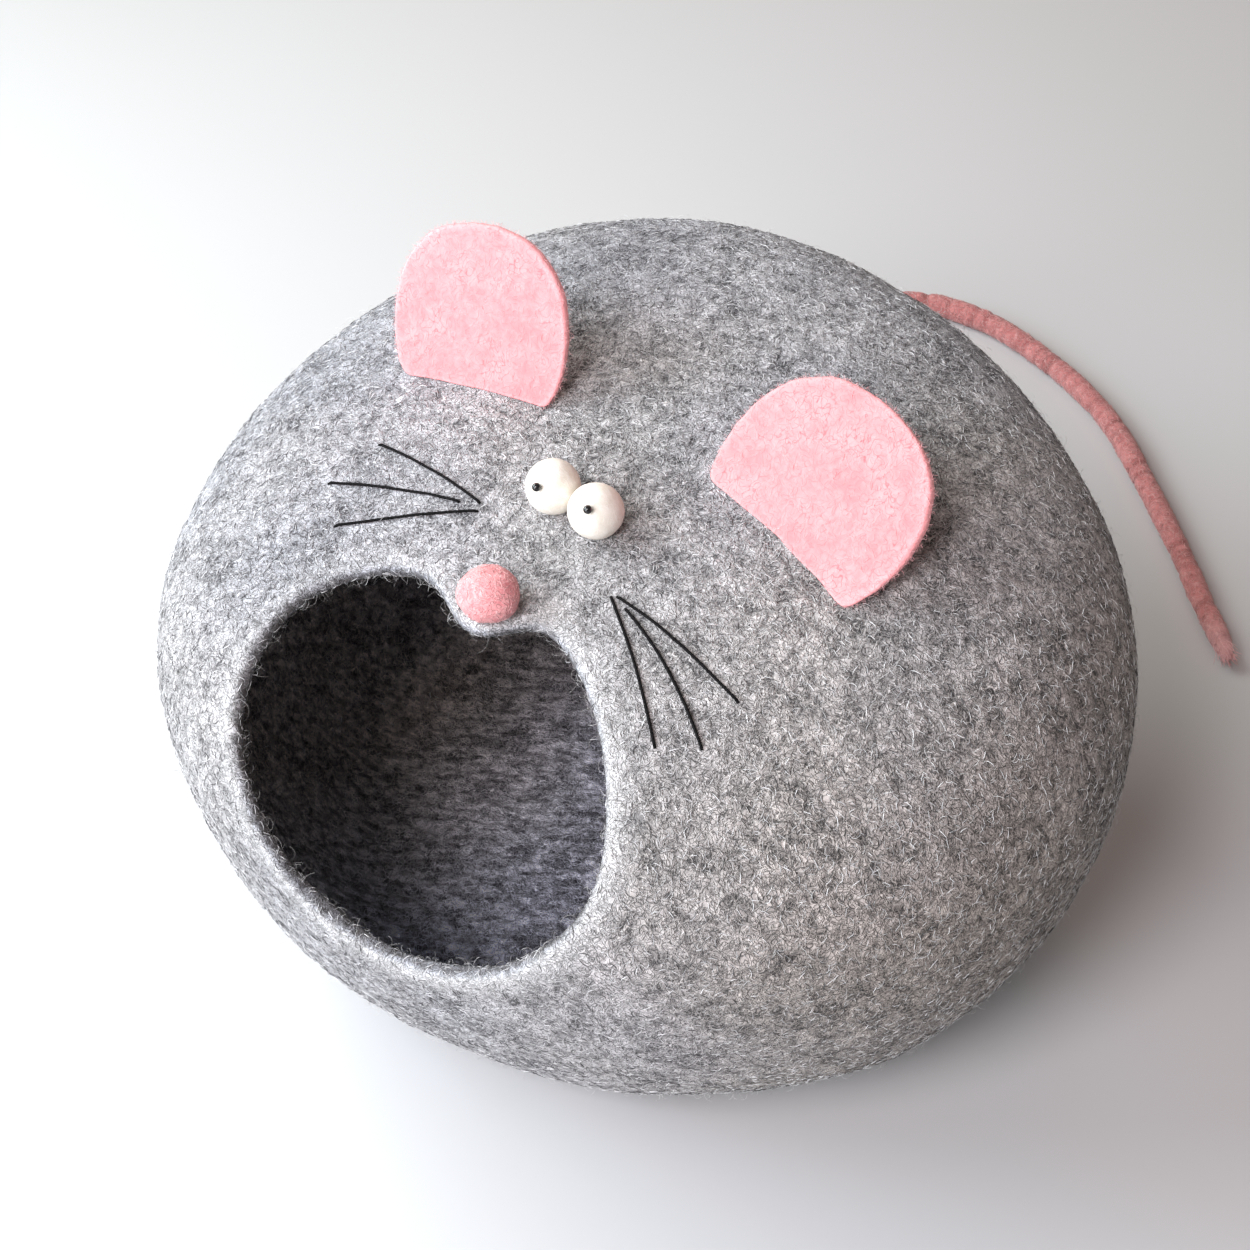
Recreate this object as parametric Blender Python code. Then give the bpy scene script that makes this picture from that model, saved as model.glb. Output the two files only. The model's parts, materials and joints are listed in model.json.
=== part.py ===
"""Felt cat cave with a mouse's face: a hollow felted pod, two ears, eyes, a nose, whiskers and a long tail.

Metres, +Z up. The mouse looks towards -Y, and its own left side is +X.
The origin is on the floor, under the middle of the pod.
"""

import math

import bmesh
import bpy
from mathutils import Vector
from mathutils.bvhtree import BVHTree

# ---------------------------------------------------------------- pod
WALL = 0.0085                 # thickness of the felt
HALF_WIDTH = 0.233            # mean half width where the pod is widest
WIDEST_HEIGHT = 0.168         # height of the widest level
CROWN_HEIGHT = 0.291          # height of the crown before it tips
CROWN_SQUARENESS = 2.6        # 2 is an ellipse, more is a squarer shoulder
BELLY_SQUARENESS = 1.8
BASE_SHARE = 0.60             # flat base's half width as a share of HALF_WIDTH
BASE_LATITUDE = math.radians(62)   # below this latitude the felt lies flat on the floor
LEAN_BACK = 0.064             # how far the crown leans towards the tail
LEAN_RIGHT = 0.025            # and towards the mouse's right
BROW_DROP = 0.0215            # how far the crown tips down towards the face

# The pod's outline from above, as waves round it
PLAN_WAVES = (
    {"waves": 2, "cosine": -0.062, "sine": -0.008},
    {"waves": 3, "cosine": 0.009, "sine": -0.023},
)

# ---------------------------------------------------------------- mouth
MOUTH_TURN = math.radians(7.65)       # the mouth's axis, turned from the front to the mouse's left
MOUTH_RISE = math.radians(25.55)      # and raised above level
MOUTH_ANGLE = math.radians(27.94)     # mean half angle of the opening
MOUTH_OVAL = math.radians(3.37)       # longer one way than the other by this
MOUTH_OVAL_TURN = math.radians(-18.7)
TONGUE_ANGLE = math.radians(5.87)     # the tongue under the nose dips into the opening
TONGUE_TURN = math.radians(-1.56)
TONGUE_WIDTH = math.radians(11.2)

# ---------------------------------------------------------------- ears
EAR_FELT = 0.0045
EAR_CURL = 0.002              # how far the tip bends back
EAR_SEAM_STEPS = 10
EAR_ROUND_STEPS = 28
EAR_RINGS = 3
EAR_SQUARENESS = 2.25         # 2 is an ellipse, more is a squarer shoulder
# Each ear is an oval disc, cut off straight some way under its centre. The corners of
# its seam are places seen from above, and it leans back from upright.
EARS = (
    {"name": "ear_left", "inner": (0.0374, 0.0153), "outer": (0.1290, -0.0054), "lean": math.radians(47),
     "half_width": 0.0548, "half_height": 0.0492, "centre": 0.0278},
    {"name": "ear_right", "inner": (-0.0558, 0.0077), "outer": (-0.1385, -0.0085), "lean": math.radians(23),
     "half_width": 0.0502, "half_height": 0.0500, "centre": 0.0310},
)

# ---------------------------------------------------------------- eyes, nose, whiskers
EYE_RADIUS = 0.0130
EYES = (
    # place seen from above, and where the eye looks
    {"name": "eye_left", "above": (0.0125, -0.0364), "look": (0.305, -0.667, 0.680)},
    {"name": "eye_right", "above": (-0.0136, -0.0358), "look": (0.107, -0.808, 0.580)},
)
PUPIL_RADIUS = 0.0021
NOSE_LENGTH = 0.031
NOSE_WIDTH = 0.0275
NOSE_HEIGHT = 0.026
NOSE_ABOVE = (-0.0010, -0.0959)
NOSE_TURN = math.radians(25)
BALL_SEATING = 0.93           # a ball's centre is this share of its half height over its seat
THREAD_RADIUS = 0.00065
WHISKERS = (
    {"name": "whisker_right_1", "root": (-0.0458, -0.0549), "end": (-0.1169, -0.0507)},
    {"name": "whisker_right_2", "root": (-0.0549, -0.0594), "end": (-0.1237, -0.0802)},
    {"name": "whisker_right_3", "root": (-0.0437, -0.0588), "end": (-0.1011, -0.0988)},
    {"name": "whisker_left_1", "root": (0.0431, -0.0615), "end": (0.1207, -0.0715)},
    {"name": "whisker_left_2", "root": (0.0501, -0.0643), "end": (0.1191, -0.0967)},
    {"name": "whisker_left_3", "root": (0.0408, -0.0630), "end": (0.1024, -0.1081)},
)
WHISKER_STEPS = 7

# ---------------------------------------------------------------- tail
TAIL_RADIUS = 0.0078
TAIL_TIP_RADIUS = 0.0064
TAIL_SPACING = 0.036
TAIL_EXIT_HEIGHT = 0.055
FINE_STEPS = 24               # steps between two places of the route, before it is spaced evenly
# Places along the tail seen from above, and how far its underside is off the floor there
TAIL_ROUTE = (
    {"at": (-0.024, 0.287), "lift": 0.010},
    {"at": (-0.056, 0.318), "lift": 0.0},
    {"at": (-0.098, 0.346), "lift": 0.0},
    {"at": (-0.140, 0.376), "lift": 0.0},
    {"at": (-0.175, 0.413), "lift": 0.0},
    {"at": (-0.193, 0.453), "lift": 0.0},
    {"at": (-0.190, 0.491), "lift": 0.0},
    {"at": (-0.171, 0.510), "lift": 0.0},
    {"at": (-0.144, 0.517), "lift": 0.0},
    {"at": (-0.110, 0.517), "lift": 0.0},
    {"at": (-0.061, 0.504), "lift": 0.0},
    {"at": (-0.020, 0.487), "lift": 0.0},
    {"at": (0.015, 0.466), "lift": 0.0},
    {"at": (0.055, 0.433), "lift": 0.0},
    {"at": (0.085, 0.407), "lift": 0.0},
    {"at": (0.114, 0.381), "lift": 0.0},
    {"at": (0.140, 0.356), "lift": 0.0},
    {"at": (0.166, 0.332), "lift": 0.0},
    {"at": (0.181, 0.318), "lift": 0.0},
)

# ---------------------------------------------------------------- mesh fineness and gaps
GAP = 0.0003
ROUND_STEPS = 60
TONGUE_CROWDING = 0.45        # the steps round the mouth crowd together at the tongue
OUTER_STEPS = 21
INNER_STEPS = 16
RIM_STEPS = 4
BALL_STEPS = {"round": 20, "rows": 12}
BEAD_STEPS = {"round": 12, "rows": 8}
SMALL_TURN = 1e-3

# ---------------------------------------------------------------- colours
GREY_FELT = {"name": "grey felt", "colour": (0.36, 0.36, 0.37), "roughness": 0.95}
PINK_FELT = {"name": "pink felt", "colour": (0.95, 0.50, 0.53), "roughness": 0.9}
NOSE_WOOL = {"name": "rose wool", "colour": (0.80, 0.35, 0.37), "roughness": 0.9}
TAIL_WOOL = {"name": "dusty pink wool", "colour": (0.56, 0.22, 0.22), "roughness": 0.9}
WHITE_WOOL = {"name": "white wool", "colour": (0.85, 0.82, 0.76), "roughness": 0.9}
BLACK_BEAD = {"name": "black bead", "colour": (0.01, 0.01, 0.012), "roughness": 0.15}
BLACK_THREAD = {"name": "black thread", "colour": (0.012, 0.012, 0.014), "roughness": 0.7}


def clear_scene():
    for old in list(bpy.data.objects):
        bpy.data.objects.remove(old, do_unlink=True)


def finish(finish_row):
    material = bpy.data.materials.get(finish_row["name"]) or bpy.data.materials.new(finish_row["name"])
    material.use_nodes = True
    shader = material.node_tree.nodes["Principled BSDF"]
    shader.inputs["Base Color"].default_value = (*finish_row["colour"], 1)
    shader.inputs["Roughness"].default_value = finish_row["roughness"]
    return material


def mesh_object(name, points, faces, finish_row):
    mesh = bpy.data.meshes.new(name)
    mesh.from_pydata([tuple(point) for point in points], [], faces)
    mesh.shade_smooth()
    mesh.materials.append(finish(finish_row))
    made = bpy.data.objects.new(name, mesh)
    bpy.context.collection.objects.link(made)
    return made


def tube_object(name, route, radii, finish_row, sides):
    curve = bpy.data.curves.new(name, "CURVE")
    curve.dimensions = "3D"
    curve.bevel_depth = 1.0
    curve.bevel_resolution = sides
    curve.use_fill_caps = True
    spline = curve.splines.new("POLY")
    spline.points.add(len(route) - 1)
    for point, place, radius in zip(spline.points, route, radii):
        point.co = (*place, 1)
        point.radius = radius
    curve.materials.append(finish(finish_row))
    made = bpy.data.objects.new(name, curve)
    bpy.context.collection.objects.link(made)
    return made


# ---------------------------------------------------------------- the pod's form
def plan_share(turn):
    share = 1.0
    for row in PLAN_WAVES:
        share += row["cosine"] * math.cos(row["waves"] * turn)
        share += row["sine"] * math.sin(row["waves"] * turn)
    return share


def loose_pod_point(direction):
    """The point of the outer face that belongs to a direction from the pod's middle."""
    direction = direction.normalized()
    latitude = math.asin(max(-1.0, min(1.0, direction.z)))
    turn = math.atan2(direction.x, -direction.y)
    if latitude >= 0:
        share = max(math.cos(latitude), 0) ** (2 / CROWN_SQUARENESS)
        rise = math.sin(latitude) ** (2 / CROWN_SQUARENESS)
        height = WIDEST_HEIGHT + (CROWN_HEIGHT - WIDEST_HEIGHT) * rise
    elif latitude > -BASE_LATITUDE:
        dip = -latitude * (math.pi / 2) / BASE_LATITUDE
        share = BASE_SHARE + (1 - BASE_SHARE) * max(math.cos(dip), 0) ** (2 / BELLY_SQUARENESS)
        height = WIDEST_HEIGHT * (1 - math.sin(dip) ** (2 / BELLY_SQUARENESS))
    else:
        share = BASE_SHARE * (math.pi / 2 + latitude) / (math.pi / 2 - BASE_LATITUDE)
        height = 0.0
    tip = max((height - WIDEST_HEIGHT) / (CROWN_HEIGHT - WIDEST_HEIGHT), 0) ** 2
    reach = HALF_WIDTH * share * plan_share(turn)
    x = reach * math.sin(turn) - LEAN_RIGHT * tip
    y = -reach * math.cos(turn) + LEAN_BACK * tip
    z = height - BROW_DROP * tip * share * math.cos(turn)
    return Vector((x, y, z))


def plan_middle():
    ring = []
    for latitude in range(-10, 50, 2):
        for degree in range(0, 360, 3):
            turn, rise = math.radians(degree), math.radians(latitude)
            ring.append(loose_pod_point(Vector((math.sin(turn), -math.cos(turn), math.tan(rise)))))
    return Vector((
        (max(p.x for p in ring) + min(p.x for p in ring)) / 2,
        (max(p.y for p in ring) + min(p.y for p in ring)) / 2,
        0,
    ))


MIDDLE = plan_middle()


def pod_point(direction):
    return loose_pod_point(direction) - MIDDLE


def mouth_frame():
    axis = Vector((
        math.sin(MOUTH_TURN) * math.cos(MOUTH_RISE),
        -math.cos(MOUTH_TURN) * math.cos(MOUTH_RISE),
        math.sin(MOUTH_RISE),
    ))
    side = Vector((0, 0, 1)).cross(axis).normalized()
    return axis, side, axis.cross(side)


MOUTH_AXIS, MOUTH_SIDE, MOUTH_UP = mouth_frame()


def direction_at(angle, turn):
    """A direction at an angle from the mouth's axis, turned from its top to the mouse's left."""
    across = MOUTH_UP * math.cos(turn) + MOUTH_SIDE * math.sin(turn)
    return MOUTH_AXIS * math.cos(angle) + across * math.sin(angle)


def rim_angle(turn):
    from_tongue = (turn - TONGUE_TURN + math.pi) % (2 * math.pi) - math.pi
    oval = MOUTH_OVAL * math.cos(2 * (turn - MOUTH_OVAL_TURN))
    tongue = TONGUE_ANGLE * math.exp(-abs(from_tongue / TONGUE_WIDTH) ** 2.5)
    return MOUTH_ANGLE + oval - tongue


def slopes(angle, turn):
    """The outward normal, and how far the face runs for each radian away from the mouth."""
    away = pod_point(direction_at(angle + SMALL_TURN, turn)) - pod_point(direction_at(angle - SMALL_TURN, turn))
    round_it = pod_point(direction_at(angle, turn + SMALL_TURN)) - pod_point(direction_at(angle, turn - SMALL_TURN))
    normal = away.cross(round_it).normalized()
    if normal.dot(direction_at(angle, turn)) < 0:
        normal.negate()
    return normal, away / (2 * SMALL_TURN)


def wall_section(turn):
    """One section of the wall, from the outer pole over the rim to the inner pole, without the poles."""
    edge = rim_angle(turn)
    _, away = slopes(edge, turn)
    start = edge + WALL / 2 / away.length
    section = []
    for step in range(OUTER_STEPS, 0, -1):
        section.append(pod_point(direction_at(start + (math.pi - start) * step / (OUTER_STEPS + 1), turn)))
    normal, away = slopes(start, turn)
    middle = pod_point(direction_at(start, turn)) - normal * WALL / 2
    towards_mouth = -away.normalized()
    for step in range(RIM_STEPS + 1):
        bend = math.pi * step / RIM_STEPS
        section.append(middle + (normal * math.cos(bend) + towards_mouth * math.sin(bend)) * WALL / 2)
    for step in range(1, INNER_STEPS + 1):
        angle = start + (math.pi - start) * step / (INNER_STEPS + 1)
        normal, _ = slopes(angle, turn)
        section.append(pod_point(direction_at(angle, turn)) - normal * WALL)
    return section


def make_pod():
    turns = [2 * math.pi * step / ROUND_STEPS for step in range(ROUND_STEPS)]
    sections = [wall_section(turn - TONGUE_CROWDING * math.sin(turn)) for turn in turns]
    rows = len(sections[0])
    points = [point for section in sections for point in section]
    faces = []
    for column in range(ROUND_STEPS):
        here = column * rows
        there = (column + 1) % ROUND_STEPS * rows
        for row in range(rows - 1):
            faces.append((here + row, here + row + 1, there + row + 1, there + row))
    normal, _ = slopes(math.pi - 10 * SMALL_TURN, 0)
    pole = pod_point(-MOUTH_AXIS)
    for place, row in ((pole, 0), (pole - normal * WALL, rows - 1)):
        points.append(place)
        for column in range(ROUND_STEPS):
            here = column * rows + row
            there = (column + 1) % ROUND_STEPS * rows + row
            faces.append((len(points) - 1, here, there) if row == 0 else (len(points) - 1, there, here))
    return mesh_object("pod", points, faces, GREY_FELT)


# ---------------------------------------------------------------- seats on the pod
def surface_of(made):
    bpy.context.view_layer.update()
    return BVHTree.FromObject(made, bpy.context.evaluated_depsgraph_get())


def seat(surface, above):
    """The outer face under a place seen from above, and its normal."""
    place, normal, _, _ = surface.ray_cast(Vector((*above, 1)), Vector((0, 0, -1)))
    return place, normal


# ---------------------------------------------------------------- ears
def ear_outline(row):
    """Points round one ear's flat shape: along the seam from its inner corner, and back over the disc."""
    power = 2 / EAR_SQUARENESS
    corner = -math.asin((row["centre"] / row["half_height"]) ** (1 / power))
    half_seam = row["half_width"] * math.cos(corner) ** power
    outline = []
    for step in range(EAR_SEAM_STEPS):
        outline.append((half_seam * (2 * step / EAR_SEAM_STEPS - 1), 0.0))
    for step in range(EAR_ROUND_STEPS):
        turn = corner + (math.pi - 2 * corner) * step / EAR_ROUND_STEPS
        across = math.copysign(abs(math.cos(turn)) ** power, math.cos(turn))
        rise = math.copysign(abs(math.sin(turn)) ** power, math.sin(turn))
        outline.append((row["half_width"] * across, row["centre"] + row["half_height"] * rise))
    return outline


def ear_axes(row, surface):
    """The middle of the ear's seam, and the directions along the seam, up the ear and behind it."""
    inner, _ = seat(surface, row["inner"])
    outer, _ = seat(surface, row["outer"])
    along = (outer - inner).normalized()
    upright = (Vector((0, 0, 1)) - along * along.z).normalized()
    back = upright.cross(along)
    if back.y < 0:
        back.negate()
    up = upright * math.cos(row["lean"]) + back * math.sin(row["lean"])
    behind = back * math.cos(row["lean"]) - upright * math.sin(row["lean"])
    return (inner + outer) / 2, along, up, behind


def ear_point(surface, axes, across, rise, height, side):
    """A point of the ear's front (side -1) or back (side 1), whose seam follows the pod just clear of it."""
    middle, along, up, behind = axes
    flat = middle + along * across + behind * (side * EAR_FELT / 2 + EAR_CURL * (rise / height) ** 2)
    under, _, _, _ = surface.ray_cast(flat + up * height, -up)
    raised = (under - flat).dot(up) + GAP
    return flat + up * (rise + raised * (1 - rise / height))


def make_ear(row, surface):
    axes = ear_axes(row, surface)
    outline = ear_outline(row)
    height = row["centre"] + row["half_height"]
    count = len(outline)
    points = []
    faces = []
    for side in (-1, 1):
        first = len(points)
        for ring in range(EAR_RINGS, 0, -1):
            share = ring / EAR_RINGS
            for across, rise in outline:
                inset = row["centre"] + (rise - row["centre"]) * share
                points.append(ear_point(surface, axes, across * share, inset, height, side))
        points.append(ear_point(surface, axes, 0, row["centre"], height, side))
        for step in range(count):
            after = (step + 1) % count
            for ring in range(EAR_RINGS - 1):
                a = first + ring * count
                faces.append((a + step, a + after, a + count + after, a + count + step))
            last = first + (EAR_RINGS - 1) * count
            faces.append((last + step, last + after, first + EAR_RINGS * count))
    back = len(points) // 2
    for step in range(count):
        after = (step + 1) % count
        faces.append((step, after, back + after, back + step))
    made = mesh_object(row["name"], points, faces, PINK_FELT)
    face_outwards(made)
    made.data.set_sharp_from_angle(angle=math.radians(50))


def face_outwards(made):
    work = bmesh.new()
    work.from_mesh(made.data)
    bmesh.ops.recalc_face_normals(work, faces=work.faces)
    work.to_mesh(made.data)
    work.free()


# ---------------------------------------------------------------- balls of wool and beads
def make_ball(name, place, normal, along, sizes, finish_row, steps):
    """A ball sunk a little flat on its seat: sizes are its half length along, half width and half height."""
    along = (along - normal * along.dot(normal)).normalized()
    across = normal.cross(along)
    centre = place + normal * (sizes[2] * BALL_SEATING + GAP)
    points = []
    for row in range(1, steps["rows"]):
        polar = math.pi * row / steps["rows"]
        for column in range(steps["round"]):
            turn = 2 * math.pi * column / steps["round"]
            outward = along * sizes[0] * math.cos(turn) + across * sizes[1] * math.sin(turn)
            points.append(centre + outward * math.sin(polar) + normal * sizes[2] * math.cos(polar))
    points.append(centre + normal * sizes[2])
    points.append(centre - normal * sizes[2])
    for point in points:
        point += normal * max(GAP - (point - place).dot(normal), 0)
    faces = []
    last = (steps["rows"] - 2) * steps["round"]
    for column in range(steps["round"]):
        after = (column + 1) % steps["round"]
        faces.append((len(points) - 2, column, after))
        faces.append((len(points) - 1, last + after, last + column))
        for row in range(steps["rows"] - 2):
            a = row * steps["round"]
            faces.append((a + column, a + steps["round"] + column, a + steps["round"] + after, a + after))
    mesh_object(name, points, faces, finish_row)
    return centre


def make_face(surface):
    level = Vector((1, 0, 0))
    for row in EYES:
        place, normal = seat(surface, row["above"])
        centre = make_ball(row["name"], place, normal, level, [EYE_RADIUS] * 3, WHITE_WOOL, BALL_STEPS)
        look = Vector(row["look"]).normalized()
        pupil = row["name"].replace("eye", "pupil")
        make_ball(pupil, centre + look * EYE_RADIUS, look, level, [PUPIL_RADIUS] * 3, BLACK_BEAD, BEAD_STEPS)
    place, normal = seat(surface, NOSE_ABOVE)
    along = Vector((math.cos(NOSE_TURN), math.sin(NOSE_TURN), 0))
    sizes = (NOSE_LENGTH / 2, NOSE_WIDTH / 2, NOSE_HEIGHT / 2)
    make_ball("nose", place, normal, along, sizes, NOSE_WOOL, BALL_STEPS)


def make_whisker(row, surface):
    root, end = Vector(row["root"]), Vector(row["end"])
    route = []
    for step in range(WHISKER_STEPS + 1):
        place, normal = seat(surface, root.lerp(end, step / WHISKER_STEPS))
        route.append(place + normal * (THREAD_RADIUS + GAP))
    tube_object(row["name"], route, [THREAD_RADIUS] * len(route), BLACK_THREAD, 1)


# ---------------------------------------------------------------- tail
def smooth_route(knots, spacing):
    """Points at an even spacing on a smooth curve through the knots."""
    before_first = 2 * knots[0] - knots[1]
    after_last = 2 * knots[-1] - knots[-2]
    padded = [before_first, *knots, after_last]
    fine = []
    for index in range(1, len(padded) - 2):
        before, a, b, after = padded[index - 1:index + 3]
        for step in range(FINE_STEPS):
            t = step / FINE_STEPS
            bend = (2 * before - 5 * a + 4 * b - after) * t ** 2 + (3 * a - before - 3 * b + after) * t ** 3
            fine.append(a + (b - before) * t / 2 + bend / 2)
    fine.append(knots[-1])
    travelled = [0.0]
    for a, b in zip(fine, fine[1:]):
        travelled.append(travelled[-1] + (b - a).length)
    count = round(travelled[-1] / spacing)
    route = []
    index = 0
    for step in range(count + 1):
        target = travelled[-1] * step / count
        while index < len(fine) - 2 and travelled[index + 1] < target:
            index += 1
        share = (target - travelled[index]) / (travelled[index + 1] - travelled[index])
        route.append(fine[index].lerp(fine[index + 1], min(share, 1.0)))
    return route


def make_tail(surface):
    place, normal, _, _ = surface.ray_cast(Vector((0, 1, TAIL_EXIT_HEIGHT)), Vector((0, -1, 0)))
    start = place + normal * GAP
    straight_out = start + normal * 2 * TAIL_RADIUS
    knots = [straight_out]
    for row in TAIL_ROUTE:
        knots.append(Vector((*row["at"], TAIL_RADIUS + row["lift"])))
    route = [start, *smooth_route(knots, TAIL_SPACING)]
    radii = []
    for index, point in enumerate(route):
        past_half = max(2 * index / (len(route) - 1) - 1, 0)
        radius = TAIL_RADIUS + (TAIL_TIP_RADIUS - TAIL_RADIUS) * past_half
        radii.append(radius)
        point.z = max(point.z, TAIL_RADIUS) + radius - TAIL_RADIUS
    tube_object("tail", route, radii, TAIL_WOOL, 3)


def main():
    clear_scene()
    pod = make_pod()
    surface = surface_of(pod)
    for row in EARS:
        make_ear(row, surface)
    make_face(surface)
    for row in WHISKERS:
        make_whisker(row, surface)
    make_tail(surface)


main()
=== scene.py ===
import json
import math
import random

import bmesh
import bpy
import numpy as np
from mathutils import Matrix, Vector, noise
from mathutils.bvhtree import BVHTree

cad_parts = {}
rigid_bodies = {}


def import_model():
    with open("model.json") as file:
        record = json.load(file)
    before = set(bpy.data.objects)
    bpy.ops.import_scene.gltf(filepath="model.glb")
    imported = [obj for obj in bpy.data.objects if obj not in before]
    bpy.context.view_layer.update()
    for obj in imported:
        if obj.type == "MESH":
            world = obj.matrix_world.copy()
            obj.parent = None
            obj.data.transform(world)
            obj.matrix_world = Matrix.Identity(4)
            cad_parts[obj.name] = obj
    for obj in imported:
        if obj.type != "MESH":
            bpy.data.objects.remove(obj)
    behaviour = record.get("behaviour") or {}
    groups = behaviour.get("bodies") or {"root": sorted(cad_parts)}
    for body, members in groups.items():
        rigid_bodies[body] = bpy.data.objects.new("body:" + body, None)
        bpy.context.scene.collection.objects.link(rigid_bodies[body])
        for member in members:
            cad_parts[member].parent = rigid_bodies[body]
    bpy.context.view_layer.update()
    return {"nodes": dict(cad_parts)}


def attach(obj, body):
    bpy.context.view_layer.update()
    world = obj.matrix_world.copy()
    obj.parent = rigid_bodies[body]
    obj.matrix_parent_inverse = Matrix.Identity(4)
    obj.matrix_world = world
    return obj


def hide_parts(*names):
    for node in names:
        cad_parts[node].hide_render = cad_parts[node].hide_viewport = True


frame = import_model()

seatGap = 0.0003    # what touches keeps this much air
floorGap = 0.0001    # the lowest that wool goes
angleStep = 1e-3    # radians, for measuring slopes
print("scene: frame loaded")


# camera, at the photo's place and angle
camera = {
    "place": (0.5272, -0.5814, 0.9312),
    "looks": (-0.49, 0.5303, -0.6918),
    "up": (-0.4186, 0.553, 0.7204),
    "lens": 62.71,
    "sensor": 36.0,
    "clip": (0.05, 30),
}


def addCamera(spec):
    looks = Vector(spec["looks"]).normalized()
    right = looks.cross(Vector(spec["up"])).normalized()
    up = right.cross(looks)
    data = bpy.data.cameras.new("camera")
    data.lens = spec["lens"]
    data.sensor_fit = "HORIZONTAL"
    data.sensor_width = spec["sensor"]
    data.clip_start, data.clip_end = spec["clip"]
    made = bpy.data.objects.new("camera", data)
    bpy.context.scene.collection.objects.link(made)
    turned = Matrix((right, up, -looks)).transposed().to_4x4()
    made.matrix_world = Matrix.Translation(Vector(spec["place"])) @ turned
    bpy.context.scene.camera = made


addCamera(camera)
print("scene: camera placed")


# small tools for meshes
def newObject(name, data):
    made = bpy.data.objects.new(name, data)
    bpy.context.scene.collection.objects.link(made)
    return made


def newPiece(name, points, faces):
    mesh = bpy.data.meshes.new(name)
    mesh.from_pydata([tuple(point) for point in points], [], faces)
    mesh.shade_smooth()
    return newObject(name, mesh)


def faceOutwards(piece):
    work = bmesh.new()
    work.from_mesh(piece.data)
    bmesh.ops.recalc_face_normals(work, faces=work.faces)
    work.to_mesh(piece.data)
    work.free()


def keepShare(piece, name, shares):
    layer = piece.data.attributes.new(name, "FLOAT", "POINT")
    layer.data.foreach_set("value", np.asarray(shares, np.float32))


def surfaceOf(piece):
    mesh = piece.data
    return BVHTree.FromPolygons([v.co for v in mesh.vertices], [f.vertices for f in mesh.polygons])


# what every finished piece says: its finish, its body and the solid it stands for
def dress(piece, finish, node):
    piece.data.materials.append(finish)
    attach(piece, "root")
    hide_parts(node)


def unit(vectors):
    return vectors / np.linalg.norm(vectors, axis=-1, keepdims=True)


def softStep(value, low, high):
    share = min(max((value - low) / (high - low), 0.0), 1.0)
    return share * share * (3 - 2 * share)


# low waves in felt or wool; each row of waves gives the length of one wave and its height
def ripple(place, waves, shift=0.0):
    away = Vector((shift, shift * 0.7, -shift * 1.3))
    return sum(height * noise.noise(Vector(place) / length + away) for length, height in waves)


# small tools for finishes
def addNode(tree, kind, inputs, **settings):
    made = tree.nodes.new(kind)
    for name, value in settings.items():
        setattr(made, name, value)
    for name, value in inputs.items():
        if isinstance(value, bpy.types.NodeSocket):
            tree.links.new(value, made.inputs[name])
        else:
            made.inputs[name].default_value = value
    return made


def startFinish(name, rough, gloss=0.5, **sockets):
    material = bpy.data.materials.new(name)
    material.use_nodes = True
    tree = material.node_tree
    shader = tree.nodes["Principled BSDF"]
    shader.inputs["Roughness"].default_value = rough
    shader.inputs["Specular IOR Level"].default_value = gloss
    for socket, value in sockets.items():
        shader.inputs[socket.replace("_", " ")].default_value = value
    here = addNode(tree, "ShaderNodeTexCoord", {}).outputs["Object"]
    return material, tree, shader, here


def shifted(tree, where, by):
    return addNode(tree, "ShaderNodeMapping", {"Vector": where, "Location": by}).outputs[0]


def cloudy(tree, where, size, detail=2.0, rough=0.5):
    inputs = {"Vector": where, "Scale": 1 / size, "Detail": detail, "Roughness": rough}
    return addNode(tree, "ShaderNodeTexNoise", inputs).outputs["Fac"]


def maths(tree, operation, first, second=0.0):
    return addNode(tree, "ShaderNodeMath", {0: first, 1: second}, operation=operation).outputs[0]


def plus(tree, first, second):
    return maths(tree, "ADD", first, second)


def minus(tree, first, second):
    return maths(tree, "SUBTRACT", first, second)


def times(tree, first, second):
    return maths(tree, "MULTIPLY", first, second)


def tinted(tree, colour, tint):
    return blend(tree, 1.0, colour, tint, "MULTIPLY")


def spread(tree, value, low, high, toLow=0.0, toHigh=1.0):
    inputs = {"Value": value, "From Min": low, "From Max": high, "To Min": toLow, "To Max": toHigh}
    return addNode(tree, "ShaderNodeMapRange", inputs).outputs["Result"]


def blend(tree, share, first, second, mode="MIX"):
    first, second = ((*colour, 1) if isinstance(colour, tuple) else colour for colour in (first, second))
    inputs = {0: share, 6: first, 7: second}
    return addNode(tree, "ShaderNodeMix", inputs, data_type="RGBA", blend_type=mode).outputs[2]


def curled(tree, where, size, push):    # the same places, pushed about so that lines curl
    inputs = {"Vector": where, "Scale": 1 / size, "Detail": 1.0}
    wild = addNode(tree, "ShaderNodeTexNoise", inputs).outputs["Color"]
    middle = addNode(tree, "ShaderNodeVectorMath", {0: wild, 1: (0.5, 0.5, 0.5)}, operation="SUBTRACT")
    inputs = {0: middle.outputs[0], 1: (push, push, push), 2: where}
    return addNode(tree, "ShaderNodeVectorMath", inputs, operation="MULTIPLY_ADD").outputs[0]


# three sets of thin lines, each where a smooth noise passes through its middle value
def strands(tree, where, size, width):
    inputs = {"Vector": where, "Scale": 1 / size, "Detail": 0.0}
    wild = addNode(tree, "ShaderNodeTexNoise", inputs).outputs["Color"]
    lines = []
    for part in list(addNode(tree, "ShaderNodeSeparateXYZ", {"Vector": wild}).outputs):
        off = maths(tree, "ABSOLUTE", minus(tree, part, 0.5))
        lines.append(spread(tree, off, 0.0, width, 1.0, 0.0))
    return lines


def share(tree, name):
    return addNode(tree, "ShaderNodeAttribute", {}, attribute_name=name).outputs["Fac"]


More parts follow.
